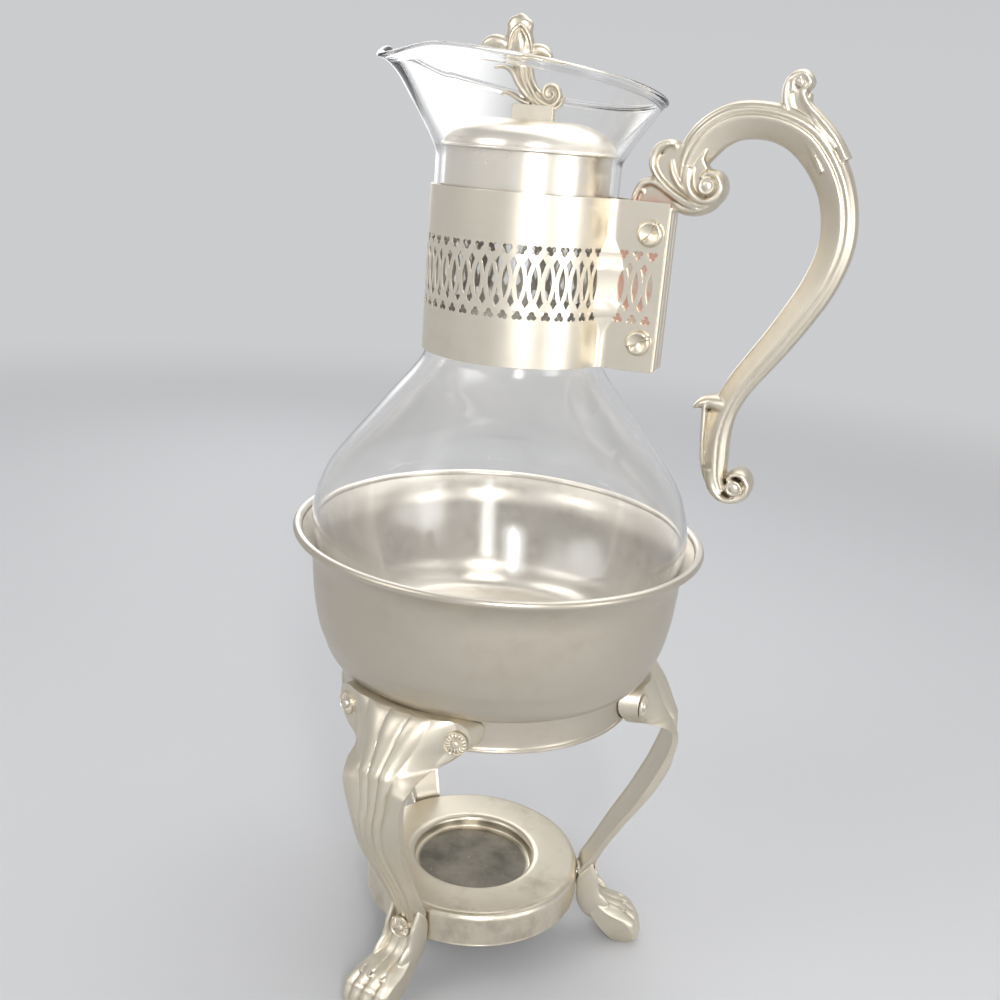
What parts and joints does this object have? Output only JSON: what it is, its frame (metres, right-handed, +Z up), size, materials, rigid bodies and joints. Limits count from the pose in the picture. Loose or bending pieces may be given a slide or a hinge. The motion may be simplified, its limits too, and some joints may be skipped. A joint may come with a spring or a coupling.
{
  "type": "glass carafe with footed candle warmer",
  "caption": "Glass coffee carafe with pierced collar, scroll handle and domed lid, standing in a footed bowl over a candle tray.",
  "frame": {"origin": "on the vertical axis of the bowl and carafe, in the plane that the three feet stand on", "axes": "+Z up along the carafe's axis, +X from that axis to the handle, so the pouring lip is towards -X"},
  "size_m": [0.1963, 0.16, 0.3705],
  "materials": {
    "clear_glass": "clear blown glass, faintly green at its edges",
    "band_plate": "satin silver plate, worn",
    "cast_plate": "soft silver plate on a casting, dark in its hollows",
    "lid_plate": "satin silver plate",
    "bowl_plate": "satin silver plate, spun and handled",
    "tray_plate": "silver plate, stained in the recess",
    "leg_plate": "soft silver plate on a casting",
    "screw_metal": "plated steel"
  },
  "bodies": {
    "warmer_stand": {"warmer_bowl": "bowl_plate", "candle_tray": "tray_plate", "leg_right": "leg_plate", "leg_front": "leg_plate", "leg_back": "leg_plate", "wing_rosettes": "leg_plate", "wing_nuts": "screw_metal", "ankle_rosettes": "leg_plate", "ankle_nuts": "screw_metal"},
    "carafe": {"glass_carafe": "clear_glass", "collar_band": "band_plate", "handle": "cast_plate", "clamp_screws": "screw_metal", "clamp_nuts": "screw_metal", "clamp_washers": "screw_metal"},
    "lid": {"lid_cap": "lid_plate", "lid_sleeve": "lid_plate", "lid_finial": "cast_plate", "finial_screw": "screw_metal", "finial_washer": "screw_metal"}
  },
  "joints": [
    {"name": "carafe_lift", "type": "slide", "parent": "warmer_stand", "child": "carafe", "axis": [0, 0, 1], "range_m": [0, 0.1]},
    {"name": "lid_lift", "type": "slide", "parent": "carafe", "child": "lid", "axis": [0, 0, 1], "range_m": [0, 0.08]}
  ]
}
